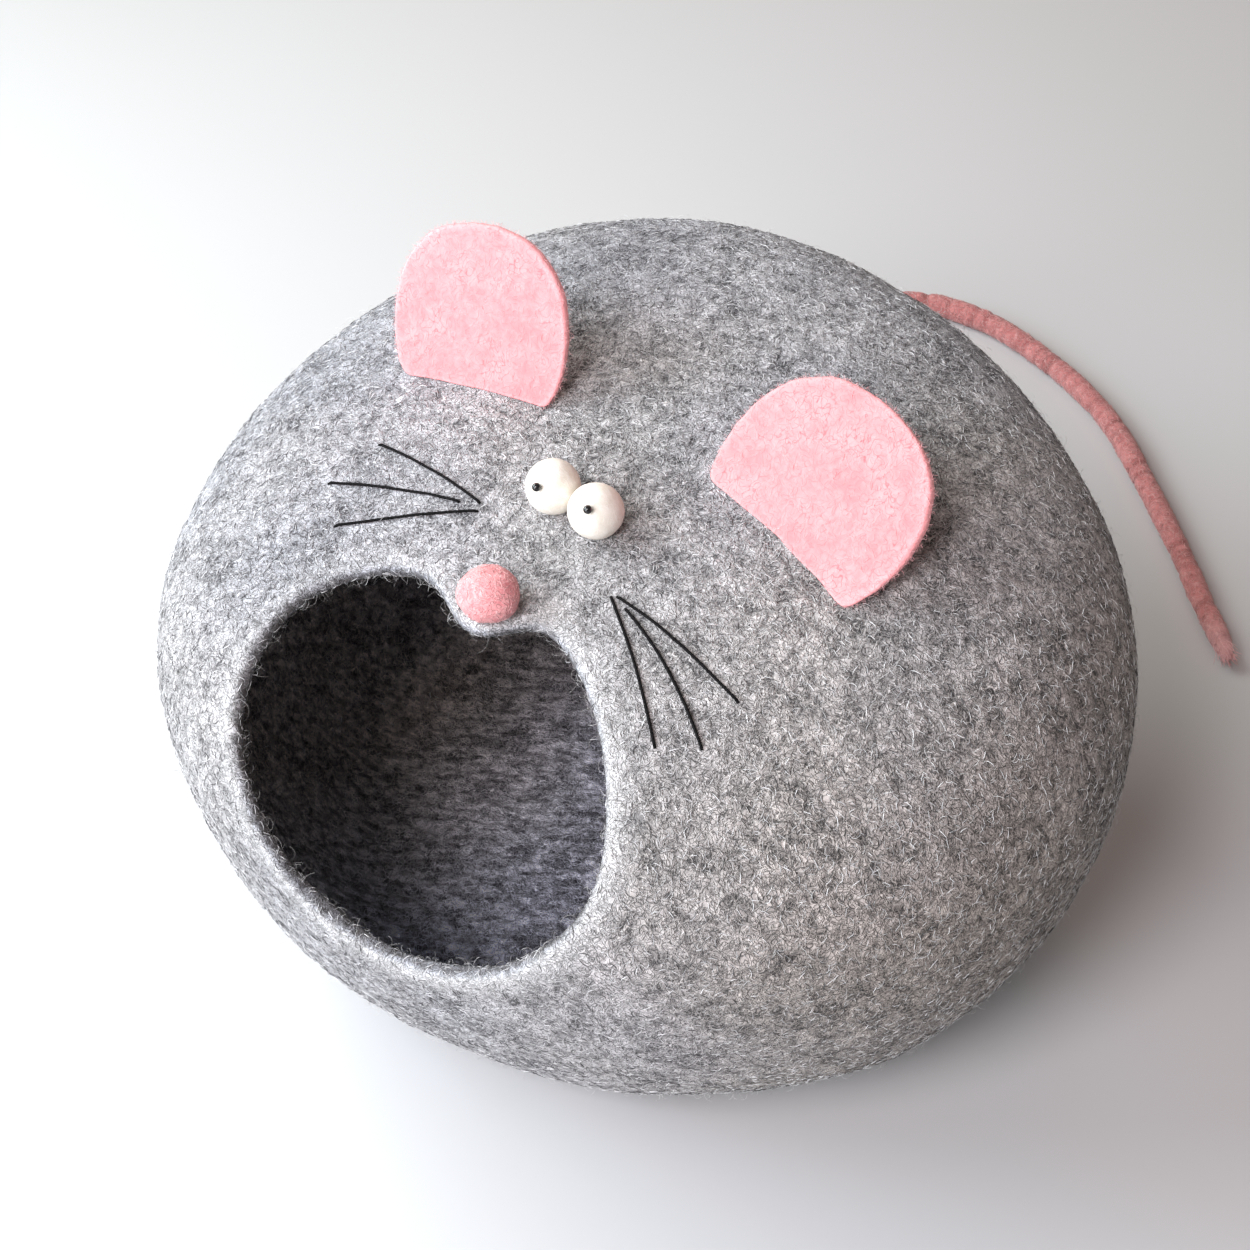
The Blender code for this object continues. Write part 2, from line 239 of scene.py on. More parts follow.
# colours laid one over another; each row gives where, how strongly and the colour
def layAll(tree, colour, rows, places):
    for where, strength, wool in rows:
        colour = blend(tree, times(tree, places[where], strength), colour, wool)
    return colour


def endFinish(tree, shader, colour, height, distance):
    tree.links.new(colour, shader.inputs["Base Color"])
    bump = addNode(tree, "ShaderNodeBump", {"Height": height, "Distance": distance, "Strength": 1.0})
    tree.links.new(bump.outputs[0], shader.inputs["Normal"])


# wool of two shades in soft clumps, with thin lines of darker, lighter and white wool
def woolFinish(name, wool):
    material, tree, shader, here = startFinish(name, wool["rough"], wool["gloss"], Sheen_Weight=wool["sheen"])
    loose = curled(tree, here, *wool["curl"])
    clumps = cloudy(tree, loose, wool["clumps"], 2.0, 0.6)
    white, light, dark = strands(tree, loose, *wool["strands"])
    tone = clumps
    if "patches" in wool:
        patches = cloudy(tree, shifted(tree, here, (0.3, 0.1, 0.2)), wool["patches"], 2.0)
        tone = plus(tree, times(tree, clumps, 0.5), times(tree, patches, 0.5))
        dark = times(tree, dark, spread(tree, patches, *wool["darkWhere"]))
    places = {"white": white, "light": light, "dark": dark}
    for where, _, _ in wool["layers"]:
        if where not in places:
            places[where] = share(tree, where)
    if "tip" in wool:
        places["alongShare"] = spread(tree, places["alongShare"], wool["tip"], 1.0)
    colour = blend(tree, spread(tree, tone, *wool["contrast"]), wool["shades"][0], wool["shades"][1])
    colour = layAll(tree, colour, wool["layers"], places)
    height = plus(tree, clumps, times(tree, white, wool["whiteRise"]))
    endFinish(tree, shader, colour, height, wool["relief"])
    return material


# pod: one hollow shell of grey felt, widest under its shoulder, with a slanting mouth
pod = {
    "wall": 0.0085,
    "halfWidth": 0.233,
    "widestHeight": 0.168,
    "crownHeight": 0.291,
    "crownSquareness": 2.6,
    "bellySquareness": 1.8,
    "baseShare": 0.60,
    "baseLatitude": math.radians(62),
    "leanBack": 0.064,
    "leanRight": 0.025,
    "browDrop": 0.0215,
    "planWaves": ((2, -0.062, -0.008), (3, 0.009, -0.023)),    # waves round it, cosine, sine
    "mouthTurn": math.radians(7.65),
    "mouthRise": math.radians(25.55),
    "mouthAngle": math.radians(27.94),
    "mouthOval": math.radians(3.37),
    "mouthOvalTurn": math.radians(-18.7),
    "tongueAngle": math.radians(5.87),
    "tongueTurn": math.radians(-1.56),
    "tongueWidth": math.radians(11.2),
    "crowding": 0.45,
    "columns": 348,
    "outerRows": 126,
    "rimRows": 10,
    "innerRows": 30,
    "unevenness": ((0.085, 0.0016), (0.034, 0.0007), (0.013, 0.0004)),
    "innerUnevenness": ((0.06, 0.0012), (0.02, 0.0006)),
    "evenHeights": (0.001, 0.03),    # the waves come in between these heights above the floor
    "rimBand": 0.013,
    "former": 0.57,    # it is felted in two round layers of this size, one each side of a flat former
}


def loosePodPoints(directions):
    ways = unit(directions)
    latitude = np.arcsin(np.clip(ways[..., 2], -1, 1))
    turn = np.arctan2(ways[..., 0], -ways[..., 1])
    crown = 2 / pod["crownSquareness"]
    belly = 2 / pod["bellySquareness"]
    widest, top, base = pod["widestHeight"], pod["crownHeight"], pod["baseShare"]
    crownReach = np.clip(np.cos(latitude), 0, None) ** crown
    crownRise = widest + (top - widest) * np.abs(np.sin(latitude)) ** crown
    dip = np.clip(-latitude * (math.pi / 2) / pod["baseLatitude"], 0, math.pi / 2)
    bellyReach = base + (1 - base) * np.clip(np.cos(dip), 0, None) ** belly
    bellyRise = widest * (1 - np.sin(dip) ** belly)
    flatReach = base * (math.pi / 2 + latitude) / (math.pi / 2 - pod["baseLatitude"])
    above = latitude >= 0
    onFloor = latitude <= -pod["baseLatitude"]
    reach = np.where(above, crownReach, np.where(onFloor, flatReach, bellyReach))
    height = np.where(above, crownRise, np.where(onFloor, 0.0, bellyRise))
    plan = 1.0
    for waves, cosine, sine in pod["planWaves"]:
        plan = plan + cosine * np.cos(waves * turn) + sine * np.sin(waves * turn)
    tip = np.clip((height - widest) / (top - widest), 0, None) ** 2
    out = pod["halfWidth"] * reach * plan
    x = out * np.sin(turn) - pod["leanRight"] * tip
    y = -out * np.cos(turn) + pod["leanBack"] * tip
    z = height - pod["browDrop"] * tip * reach * np.cos(turn)
    return np.stack((x, y, z), axis=-1)


def planMiddle():
    rise, turn = np.meshgrid(np.radians(np.arange(-10, 50, 2)), np.radians(np.arange(0, 360, 3)))
    ring = loosePodPoints(np.stack((np.sin(turn), -np.cos(turn), np.tan(rise)), axis=-1))
    middle = (ring.max(axis=(0, 1)) + ring.min(axis=(0, 1))) / 2
    middle[2] = 0
    return middle


podMiddle = planMiddle()
mouthAxis = np.array((
    math.sin(pod["mouthTurn"]) * math.cos(pod["mouthRise"]),
    -math.cos(pod["mouthTurn"]) * math.cos(pod["mouthRise"]),
    math.sin(pod["mouthRise"]),
))
mouthSide = unit(np.cross((0, 0, 1), mouthAxis))
mouthUp = np.cross(mouthAxis, mouthSide)


def podPoints(angle, turn):
    angle, turn = np.broadcast_arrays(angle, turn)
    across = np.cos(turn)[..., None] * mouthUp + np.sin(turn)[..., None] * mouthSide
    ways = np.cos(angle)[..., None] * mouthAxis + np.sin(angle)[..., None] * across
    return loosePodPoints(ways) - podMiddle


# the outward normals, and how far the face runs for each radian away from the mouth
def podSlopes(angle, turn):
    away = podPoints(angle + angleStep, turn) - podPoints(angle - angleStep, turn)
    roundIt = podPoints(angle, turn + angleStep) - podPoints(angle, turn - angleStep)
    normal = unit(np.cross(away, roundIt))
    outwards = podPoints(angle, turn) - np.array((0, 0, pod["widestHeight"]))
    normal = normal * np.sign(np.sum(normal * outwards, axis=-1, keepdims=True))
    return normal, away / (2 * angleStep)


def rimAngles(turn):
    fromTongue = (turn - pod["tongueTurn"] + math.pi) % (2 * math.pi) - math.pi
    oval = pod["mouthOval"] * np.cos(2 * (turn - pod["mouthOvalTurn"]))
    tongue = pod["tongueAngle"] * np.exp(-np.abs(fromTongue / pod["tongueWidth"]) ** 2.5)
    return pod["mouthAngle"] + oval - tongue


def makePod():
    keys = ("columns", "outerRows", "rimRows", "innerRows")
    columns, outer, rim, inner = (pod[key] for key in keys)
    wall = pod["wall"]
    turn = 2 * math.pi * np.arange(columns) / columns
    turn = (turn - pod["crowding"] * np.sin(turn))[:, None]
    edge = rimAngles(turn)
    _, away = podSlopes(edge, turn)
    start = edge + wall / 2 / np.linalg.norm(away, axis=-1)
    outerAngle = start + (math.pi - start) * np.arange(outer, 0, -1) / (outer + 1)
    outerNormal, _ = podSlopes(outerAngle, turn)
    outerPoints = podPoints(outerAngle, turn)
    normal, away = podSlopes(start, turn)
    middle = podPoints(start, turn) - normal * wall / 2
    bend = (math.pi * np.arange(rim + 1) / rim)[None, :, None]
    rimNormal = normal * np.cos(bend) - unit(away) * np.sin(bend)
    rimPoints = middle + rimNormal * wall / 2
    innerAngle = start + (math.pi - start) * np.arange(1, inner + 1) / (inner + 1)
    innerNormal, _ = podSlopes(innerAngle, turn)
    innerPoints = podPoints(innerAngle, turn) - innerNormal * wall
    poleNormal = podSlopes(np.array(math.pi - 10 * angleStep), np.array(0.0))[0]
    pole = podPoints(np.array(math.pi), np.array(0.0))
    points = np.concatenate((outerPoints, rimPoints, innerPoints), axis=1).reshape(-1, 3)
    normals = np.concatenate((outerNormal, rimNormal, -innerNormal), axis=1).reshape(-1, 3)
    points = np.concatenate((points, [pole, pole - poleNormal * wall]))
    normals = np.concatenate((normals, [poleNormal, -poleNormal]))
    rows = outer + rim + 1 + inner
    onInside = np.zeros((columns, rows))
    onInside[:, outer + rim + 1:] = 1
    onInside[:, outer:outer + rim + 1] = np.arange(rim + 1) / rim
    fromRim = np.zeros((columns, rows))
    fromRim[:, :outer] = (outerAngle - start) * np.linalg.norm(away, axis=-1)
    fromRim[:, outer + rim + 1:] = (innerAngle - start) * np.linalg.norm(away, axis=-1)
    onInside = np.append(onInside.ravel(), (0, 1))
    fromRim = np.append(fromRim.ravel(), (1, 1))
    moved = []
    for point, out, within in zip(points, normals, onInside):
        outerSwell = ripple(point, pod["unevenness"]) if within < 1 else 0
        innerSwell = ripple(point, pod["innerUnevenness"], 5) if within > 0 else 0
        swell = outerSwell * (1 - within) + innerSwell * within
        swell *= softStep(point[2], *pod["evenHeights"])
        x, y, z = point + out * swell
        moved.append((x, y, max(z, 0)))
    faces = []
    for column in range(columns):
        here = column * rows
        there = (column + 1) % columns * rows
        faces += [(here + row, here + row + 1, there + row + 1, there + row) for row in range(rows - 1)]
        faces.append((columns * rows, here, there))
        faces.append((columns * rows + 1, there + rows - 1, here + rows - 1))
    piece = newPiece("felt_pod", moved, faces)
    keepShare(piece, "insideShare", onInside)
    keepShare(piece, "rimShare", np.clip(1 - fromRim / pod["rimBand"], 0, 1))
    return piece


greyWool = {
    "curl": (0.006, 0.0045),
    "clumps": 0.0042,
    "knots": 0.0085,
    "patches": 0.026,
    "broad": 0.16,
    "mix": (0.34, 0.38, 0.28),    # how much clumps, knots and patches count
    "contrast": 0.105,
    "lowContrast": (0.04, 0.17, 1.4, 1.0),    # below and above these heights, the contrast is times this
    "shades": ((0.088, 0.087, 0.092), (0.57, 0.563, 0.575)),
    "fineStrands": (0.0021, 0.06),
    "longStrands": (0.0034, 0.04),
    "layers": (
        ("fineDark", 0.6, (0.055, 0.053, 0.055)), ("fineLight", 0.5, (0.56, 0.555, 0.565)),
        ("longDark", 0.65, (0.05, 0.048, 0.05)), ("longLight", 0.55, (0.60, 0.595, 0.605)),
        ("fineWhite", 0.6, (0.74, 0.735, 0.745)), ("longWhite", 0.7, (0.82, 0.815, 0.825)),
    ),
    "broadWhere": (0.35, 0.65),
    "broadTints": ((0.98, 0.99, 1.03), (1.02, 1.0, 0.97)),
    "awaySideShade": (0.06, 0.23, (1.0, 1.0, 1.02), (0.90, 0.82, 0.755)),    # painted shade: from and to these places across the pod, the side away from the lights grows darker and warmer
    "inside": (0.15, 0.45),    # the inside's colours come in over this part of the way round the rim
    # a paler band along the rim's outside: partly the felt's own paler edge, partly painted light
    "paleAndLitRim": (0.62, (0.80, 0.795, 0.80)),
    "paleAndLitRimFrom": (-0.10, 0.04, 0.2, 1.0),    # the painted light is weaker on the pod's right, where the rim is in shade
    "streaks": {"Rotation": (0.0, 0.0, 0.58), "Scale": (3.0, 1.0, 1.0)},
    "streakSize": 0.0045,
    "streakWhere": (0.36, 0.64),
    "streakShades": ((0.48, 0.48, 0.49), (1.38, 1.40, 1.44)),
    # painted light and shade inside: from and to these places across the pod, the inside goes from darker
    # brown shade to lighter bluish light
    "insideLightAndShade": (-0.17, -0.05, (0.95, 0.83, 0.72), (1.42, 1.48, 1.58)),
    # painted shade on the inner half of the rim
    "shadedInnerRim": (0.75, (0.075, 0.065, 0.058)),
    "rises": (0.3, 2.0),    # how high strands and knots stand, beside clumps
    "relief": 0.0016,
}


def greyFelt():
    material, tree, shader, here = startFinish("grey felt", 0.95, 0.15, Sheen_Weight=0.08)
    wool = greyWool
    loose = curled(tree, here, *wool["curl"])
    clumps = cloudy(tree, loose, wool["clumps"], 2.0, 0.6)
    knots = cloudy(tree, shifted(tree, loose, (0.5, 0.2, 0.7)), wool["knots"], 1.0)
    patches = cloudy(tree, shifted(tree, here, (0.3, 0.1, 0.2)), wool["patches"], 2.0)
    broad = cloudy(tree, shifted(tree, here, (0.7, 0.4, 0.5)), wool["broad"], 1.0)
    across, _, rise = addNode(tree, "ShaderNodeSeparateXYZ", {"Vector": here}).outputs
    places = {}
    lines = (("fine", loose, wool["fineStrands"]),
             ("long", shifted(tree, loose, (0.11, 0.23, 0.31)), wool["longStrands"]))
    for name, where, strandSizes in lines:
        found = strands(tree, where, *strandSizes)
        places.update(zip((name + "White", name + "Light", name + "Dark"), found))
    byClumps, byKnots, byPatches = wool["mix"]
    tone = plus(tree, times(tree, clumps, byClumps), times(tree, knots, byKnots))
    tone = plus(tree, tone, times(tree, patches, byPatches))
    off = times(tree, minus(tree, tone, 0.5), spread(tree, rise, *wool["lowContrast"]))
    tone = spread(tree, off, -wool["contrast"], wool["contrast"])
    colour = layAll(tree, blend(tree, tone, *wool["shades"]), wool["layers"], places)
    colour = tinted(tree, colour, blend(tree, spread(tree, broad, *wool["broadWhere"]), *wool["broadTints"]))
    # painted shade, darker and warmer on the side away from the lights
    start, end, *tints = wool["awaySideShade"]
    colour = tinted(tree, colour, blend(tree, spread(tree, across, start, end), *tints))
    inner = spread(tree, share(tree, "insideShare"), *wool["inside"])
    nearRim = share(tree, "rimShare")
    # paler band on the rim's outside, partly the felt's paler edge and partly painted light
    paler = times(tree, nearRim, minus(tree, 1.0, inner))
    paler = times(tree, paler, plus(tree, clumps, 0.45))
    paler = times(tree, paler, spread(tree, across, *wool["paleAndLitRimFrom"]))
    colour = layAll(tree, colour, [("rim", *wool["paleAndLitRim"])], {"rim": paler})
    inputs = {"Vector": loose, **wool["streaks"]}
    streaked = addNode(tree, "ShaderNodeMapping", inputs, vector_type="TEXTURE").outputs[0]
    streaks = cloudy(tree, streaked, wool["streakSize"], 2.0, 0.6)
    streaks = spread(tree, streaks, *wool["streakWhere"])
    # painted light and shade on the inside walls, over the streaks of the wool
    start, end, *tints = wool["insideLightAndShade"]
    shade = blend(tree, streaks, *wool["streakShades"])
    shade = tinted(tree, shade, blend(tree, spread(tree, across, start, end), *tints))
    colour = tinted(tree, colour, blend(tree, inner, (1.0, 1.0, 1.0), shade))
    # painted shade: the rim's inner half darkened
    colour = layAll(tree, colour, [("rim", *wool["shadedInnerRim"])], {"rim": times(tree, inner, nearRim)})
    light = plus(tree, places["fineWhite"], places["longWhite"])
    dark = plus(tree, places["fineDark"], places["longDark"])
    strandRise, knotRise = wool["rises"]
    height = plus(tree, clumps, times(tree, minus(tree, light, dark), strandRise))
    endFinish(tree, shader, colour, plus(tree, height, times(tree, knots, knotRise)), wool["relief"])
    return material


feltPod = makePod()
dress(feltPod, greyFelt(), "pod")
podSurface = surfaceOf(feltPod)
print("scene: pod made,", len(feltPod.data.polygons), "faces")


# the pod's outer face under a place seen from above, and its normal
def seat(above):
    place, normal, _, _ = podSurface.ray_cast(Vector((above[0], above[1], 1)), Vector((0, 0, -1)))
    return place, normal


# the felt's normal, averaged over its small waves
def broadNormal(above, reach=0.012):
    total = Vector((0, 0, 0))
    for x, y in ((0, 0), (reach, 0), (-reach, 0), (0, reach), (0, -reach)):
        total += seat((above[0] + x, above[1] + y))[1]
    return total.normalized()


# tail: a rolled felt cord with a frayed end
tail = {
    "radius": 0.0078,
    "tipRadius": 0.0064,
    "wisp": 0.016,    # the wool thins out over this length at its end
    "exitHeight": 0.055,
    "spacing": 0.0022,
    "sides": 28,
    "lumps": ((0.030, 0.0004), (0.009, 0.00015)),
    "creases": 84,
    "creased": (0.03, 0.985),    # the share of its length that has creases
    "creaseDepth": 0.0011,
    "creaseShares": (0.25, 1.0),    # each crease has a part of that depth
    "creaseWidth": 0.0018,
    "route": (
        (-0.024, 0.287, 0.010), (-0.056, 0.318, 0), (-0.098, 0.346, 0), (-0.140, 0.376, 0),
        (-0.175, 0.413, 0), (-0.193, 0.453, 0), (-0.190, 0.491, 0), (-0.171, 0.510, 0),
        (-0.144, 0.517, 0), (-0.110, 0.517, 0), (-0.061, 0.504, 0), (-0.020, 0.487, 0),
        (0.015, 0.466, 0), (0.055, 0.433, 0), (0.085, 0.407, 0), (0.114, 0.381, 0),
        (0.140, 0.356, 0), (0.162, 0.336, 0), (0.177, 0.322, 0),
    ),    # x, y, and how far its underside is off the floor
    "wool": {
        "rough": 0.92, "sheen": 0.25, "gloss": 0.15,
        "curl": (0.006, 0.004), "clumps": 0.0045, "strands": (0.0024, 0.05),
        "contrast": (0.36, 0.64), "shades": ((0.45, 0.15, 0.145), (0.60, 0.235, 0.225)),
        "tip": 0.955,
        "layers": (
            # painted shade in the creases
            ("creaseShare", 0.85, (0.25, 0.07, 0.065)), ("dark", 0.4, (0.27, 0.07, 0.07)),
            ("light", 0.35, (0.68, 0.32, 0.30)), ("white", 0.45, (0.84, 0.54, 0.52)),
            ("alongShare", 0.75, (0.88, 0.50, 0.50)),
        ),
        "whiteRise": 0.3, "relief": 0.0009,
    },
}


def smoothRoute(knots, spacing, fineSteps=24):
    padded = [2 * knots[0] - knots[1], *knots, 2 * knots[-1] - knots[-2]]
    fine = []
    for index in range(1, len(padded) - 2):
        before, a, b, after = padded[index - 1:index + 3]
        for step in range(fineSteps):
            t = step / fineSteps
            bend = (2 * before - 5 * a + 4 * b - after) * t ** 2 + (3 * a - before - 3 * b + after) * t ** 3
            fine.append(a + (b - before) * t / 2 + bend / 2)
    fine.append(knots[-1])
    travelled = [0.0]
    for a, b in zip(fine, fine[1:]):
        travelled.append(travelled[-1] + (b - a).length)
    count = round(travelled[-1] / spacing)
    route = []
    index = 0
    for step in range(count + 1):
        target = travelled[-1] * step / count
        while index < len(fine) - 2 and travelled[index + 1] < target:
            index += 1
        along = (target - travelled[index]) / (travelled[index + 1] - travelled[index])
        route.append(fine[index].lerp(fine[index + 1], min(along, 1.0)))
    return route


def tailRoute():
    above = Vector((0, 1, tail["exitHeight"]))
    place, normal, _, _ = surfaceOf(frame["nodes"]["pod"]).ray_cast(above, Vector((0, -1, 0)))
    start = place + normal * seatGap
    radius = tail["radius"]
    knots = [start, start + normal * 2 * radius]
    knots += [Vector((x, y, radius + lift)) for x, y, lift in tail["route"]]
    route = smoothRoute(knots, tail["spacing"])
    radii = []
    for index, point in enumerate(route):
        pastHalf = max(2 * index / (len(route) - 1) - 1, 0)
        radii.append(radius + (tail["tipRadius"] - radius) * pastHalf)
        point.z = max(point.z, radius) + radii[-1] - radius
    return route, radii


# rings of points round a route, where shape(index, turn) is each point's share of the radius
def tubeRings(route, radii, sides, shape):
    rings = []
    across = Vector((0, 0, 1))
    for index, point in enumerate(route):
        ahead = (route[min(index + 1, len(route) - 1)] - route[max(index - 1, 0)]).normalized()
        across = (across - ahead * across.dot(ahead)).normalized()
        other = ahead.cross(across)
        ring = []
        for side in range(sides):
            turn = 2 * math.pi * side / sides
            reach = radii[index] * shape(index, turn)
            ring.append(point + (across * math.cos(turn) + other * math.sin(turn)) * reach)
        rings.append(ring)
    return rings


def closeTube(name, rings, first, last):
    sides = len(rings[0])
    points = [point for ring in rings for point in ring] + [first, last]
    faces = []
    for index in range(len(rings) - 1):
        for side in range(sides):
            a, b = index * sides + side, index * sides + (side + 1) % sides
            faces.append((a, b, b + sides, a + sides))
    final = (len(rings) - 1) * sides
    for side in range(sides):
        after = (side + 1) % sides
        faces.append((len(points) - 2, after, side))
        faces.append((len(points) - 1, final + side, final + after))
    piece = newPiece(name, points, faces)
    faceOutwards(piece)
    return piece


def makeTail():
    route, radii = tailRoute()
    picks = random.Random(11)
    count = len(route)
    creases = []
    for _ in range(tail["creases"]):
        creases.append({
            "at": picks.uniform(*tail["creased"]) * count,
            "side": picks.uniform(0, 2 * math.pi),
            "depth": picks.uniform(*tail["creaseShares"]),
        })
    width = tail["creaseWidth"] / tail["spacing"]

    def shape(index, turn):
        around = Vector((math.cos(turn), math.sin(turn), 0)) * radii[index]
        swell = ripple(route[index] + around, tail["lumps"], 3.0)
        for crease in creases:
            off = abs(index - crease["at"]) / width
            if off < 3:
                facing = 0.5 + 0.5 * math.cos(turn - crease["side"])
                swell -= tail["creaseDepth"] * crease["depth"] * facing * math.exp(-off * off)
        end = max(1 - (count - 1 - index) * tail["spacing"] / tail["wisp"], 0)
        return (1 + swell / radii[index]) * (1 - 0.75 * end ** 1.5)

    rings = tubeRings(route, radii, tail["sides"], shape)
    for ring in rings:
        for point in ring:
            point.z = max(point.z, floorGap)
    ahead = (route[-1] - route[-2]).normalized()
    piece = closeTube("felt_tail", rings, route[0], route[-1] + ahead * radii[-1] * 0.2)
    shares = [index / (count - 1) for index in range(count) for _ in range(tail["sides"])] + [0, 1]
    keepShare(piece, "alongShare", shares)
    # how deep each ring lies in a crease; the tail's finish darkens this as painted shade
    hollows = []
    for index in range(count):
        depths = [crease["depth"] * math.exp(-((index - crease["at"]) / width) ** 2) for crease in creases]
        hollows += [max(depths)] * tail["sides"]
    keepShare(piece, "creaseShare", hollows + [0, 0])
    return piece, route


feltTail, tailLine = makeTail()
dress(feltTail, woolFinish("dusty pink wool", tail["wool"]), "tail")


# ears: two flat ovals of pink felt, cut straight where they are sewn on
ears = {
    "felt": 0.0045,
    "curl": 0.002,
    "squareness": 2.25,
    "seamSteps": 44,
    "roundSteps": 156,
    "rings": (
        1.0, 0.996, 0.990, 0.980, 0.965, 0.945, 0.92, 0.88, 0.83, 0.76, 0.68, 0.58, 0.47, 0.35, 0.22, 0.1,
    ),
    "edgeRound": 0.025,
    "edgeFlat": 0.8,    # how far the two faces draw together at the edge
    "paleFrom": 0.93,    # outside this share of its size, an ear is paler
    "fuzzyAbove": 0.4,
    "ovalShare": 0.88,    # an ear's area, as a share of the box round it
    "unevenness": ((0.028, 0.0005), (0.009, 0.0002)),
    "edgeWander": ((0.012, 0.0006), (0.004, 0.0003)),
    "cornerReach": 0.008,    # the two lower corners are rounded within this
    "cornerPasses": 5,
    "rows": (
        {"name": "ear_left", "inner": (0.0374, 0.0153), "outer": (0.1290, -0.0054),
         "lean": math.radians(47), "halfWidth": 0.0548, "halfHeight": 0.0492, "centre": 0.0278},
        {"name": "ear_right", "inner": (-0.0575, 0.0082), "outer": (-0.1407, -0.0060),
         "lean": math.radians(23), "halfWidth": 0.0502, "halfHeight": 0.0500, "centre": 0.0310},
    ),
    "wool": {
        "rough": 0.9, "sheen": 0.2, "gloss": 0.15,
        "curl": (0.007, 0.005), "clumps": 0.0038, "patches": 0.017, "strands": (0.0030, 0.045),
        "darkWhere": (0.46, 0.62),    # dark wool shows only in some patches
        "contrast": (0.38, 0.62), "shades": ((0.86, 0.240, 0.255), (0.93, 0.335, 0.345)),
        "layers": (
            ("dark", 0.9, (0.55, 0.14, 0.16)), ("light", 0.12, (0.93, 0.38, 0.40)),
            ("white", 0.15, (0.95, 0.46, 0.48)), ("edgeShare", 0.4, (0.96, 0.55, 0.56)),
        ),
        "whiteRise": 0.3, "relief": 0.0005,
    },
}


def earOutline(row):
    power = 2 / ears["squareness"]
    corner = -math.asin((row["centre"] / row["halfHeight"]) ** (1 / power))
    halfSeam = row["halfWidth"] * math.cos(corner) ** power
    outline = []
    for step in range(ears["seamSteps"]):
        outline.append((halfSeam * (2 * step / ears["seamSteps"] - 1), 0.0))
    for step in range(ears["roundSteps"]):
        turn = corner + (math.pi - 2 * corner) * step / ears["roundSteps"]
        across = math.copysign(abs(math.cos(turn)) ** power, math.cos(turn))
        rise = math.copysign(abs(math.sin(turn)) ** power, math.sin(turn))
        outline.append((row["halfWidth"] * across, row["centre"] + row["halfHeight"] * rise))
    corners = np.array(((-halfSeam, 0.0), (halfSeam, 0.0)))
    for _ in range(ears["cornerPasses"]):
        line = np.array(outline)
        softer = (np.roll(line, 1, axis=0) + 2 * line + np.roll(line, -1, axis=0)) / 4
        away = np.linalg.norm(line[:, None] - corners, axis=2).min(axis=1)
        outline = np.where((away < ears["cornerReach"])[:, None], softer, line).tolist()
    return outline


def earAxes(row):
    inner, _ = seat(row["inner"])
    outer, _ = seat(row["outer"])
    along = (outer - inner).normalized()
    upright = (Vector((0, 0, 1)) - along * along.z).normalized()
    back = upright.cross(along)
    if back.y < 0:
        back.negate()
    up = upright * math.cos(row["lean"]) + back * math.sin(row["lean"])
    behind = back * math.cos(row["lean"]) - upright * math.sin(row["lean"])
    return (inner + outer) / 2, along, up, behind


def makeEar(row):
    middle, along, up, behind = earAxes(row)
    height = row["centre"] + row["halfHeight"]
    points = []

    def place(across, rise, side):
        bent = side * ears["felt"] / 2 + ears["curl"] * (rise / height) ** 2
        flat = middle + along * across + behind * bent
        under, _, _, _ = podSurface.ray_cast(flat + up * height, -up)
        raised = (under - flat).dot(up) + seatGap
        point = flat + up * (rise + raised * (1 - rise / height))
        free = softStep(rise / height, 0.0, 0.3)
        return point + behind * ripple((across, rise, row["lean"]), ears["unevenness"]) * free

    outline = []
    for across, rise in earOutline(row):
        wander = ripple((across, rise, 2.0 + row["lean"]), ears["edgeWander"])
        wander *= softStep(rise / height, 0.0, 0.1)
        stretch = 1 + wander / row["halfHeight"]
        outline.append((across * stretch, row["centre"] + (rise - row["centre"]) * stretch))
    for side in (-1, 1):
        for ring in ears["rings"]:
            inEdge = max(ring - 1 + ears["edgeRound"], 0) / ears["edgeRound"]
            bulge = side * math.sqrt(1 - ears["edgeFlat"] * inEdge ** 2)
            for across, rise in outline:
                points.append(place(across * ring, row["centre"] + (rise - row["centre"]) * ring, bulge))
        points.append(place(0, row["centre"], side))
    count, rings = len(outline), len(ears["rings"])
    back = len(points) // 2
    faces = []
    for first in (0, back):
        for step in range(count):
            after = (step + 1) % count
            for ring in range(rings - 1):
                a = first + ring * count
                faces.append((a + step, a + after, a + count + after, a + count + step))
            last = first + (rings - 1) * count
            faces.append((last + step, last + after, first + rings * count))
    for step in range(count):
        after = (step + 1) % count
        faces.append((step, after, back + after, back + step))
    piece = newPiece("felt_" + row["name"], points, faces)
    faceOutwards(piece)
    pale = ears["paleFrom"]
    edge = [max(ring - pale, 0) / (1 - pale) for ring in ears["rings"] for _ in range(count)] + [0]
    keepShare(piece, "edgeShare", edge * 2)
    keepShare(piece, "strayShare", [share > ears["fuzzyAbove"] for share in edge * 2])
    return piece


pinkFelt = woolFinish("pink felt", ears["wool"])
earPieces = []
for row in ears["rows"]:
    ear = makeEar(row)
    dress(ear, pinkFelt, row["name"])
    earPieces.append(ear)
print("scene: ears made")


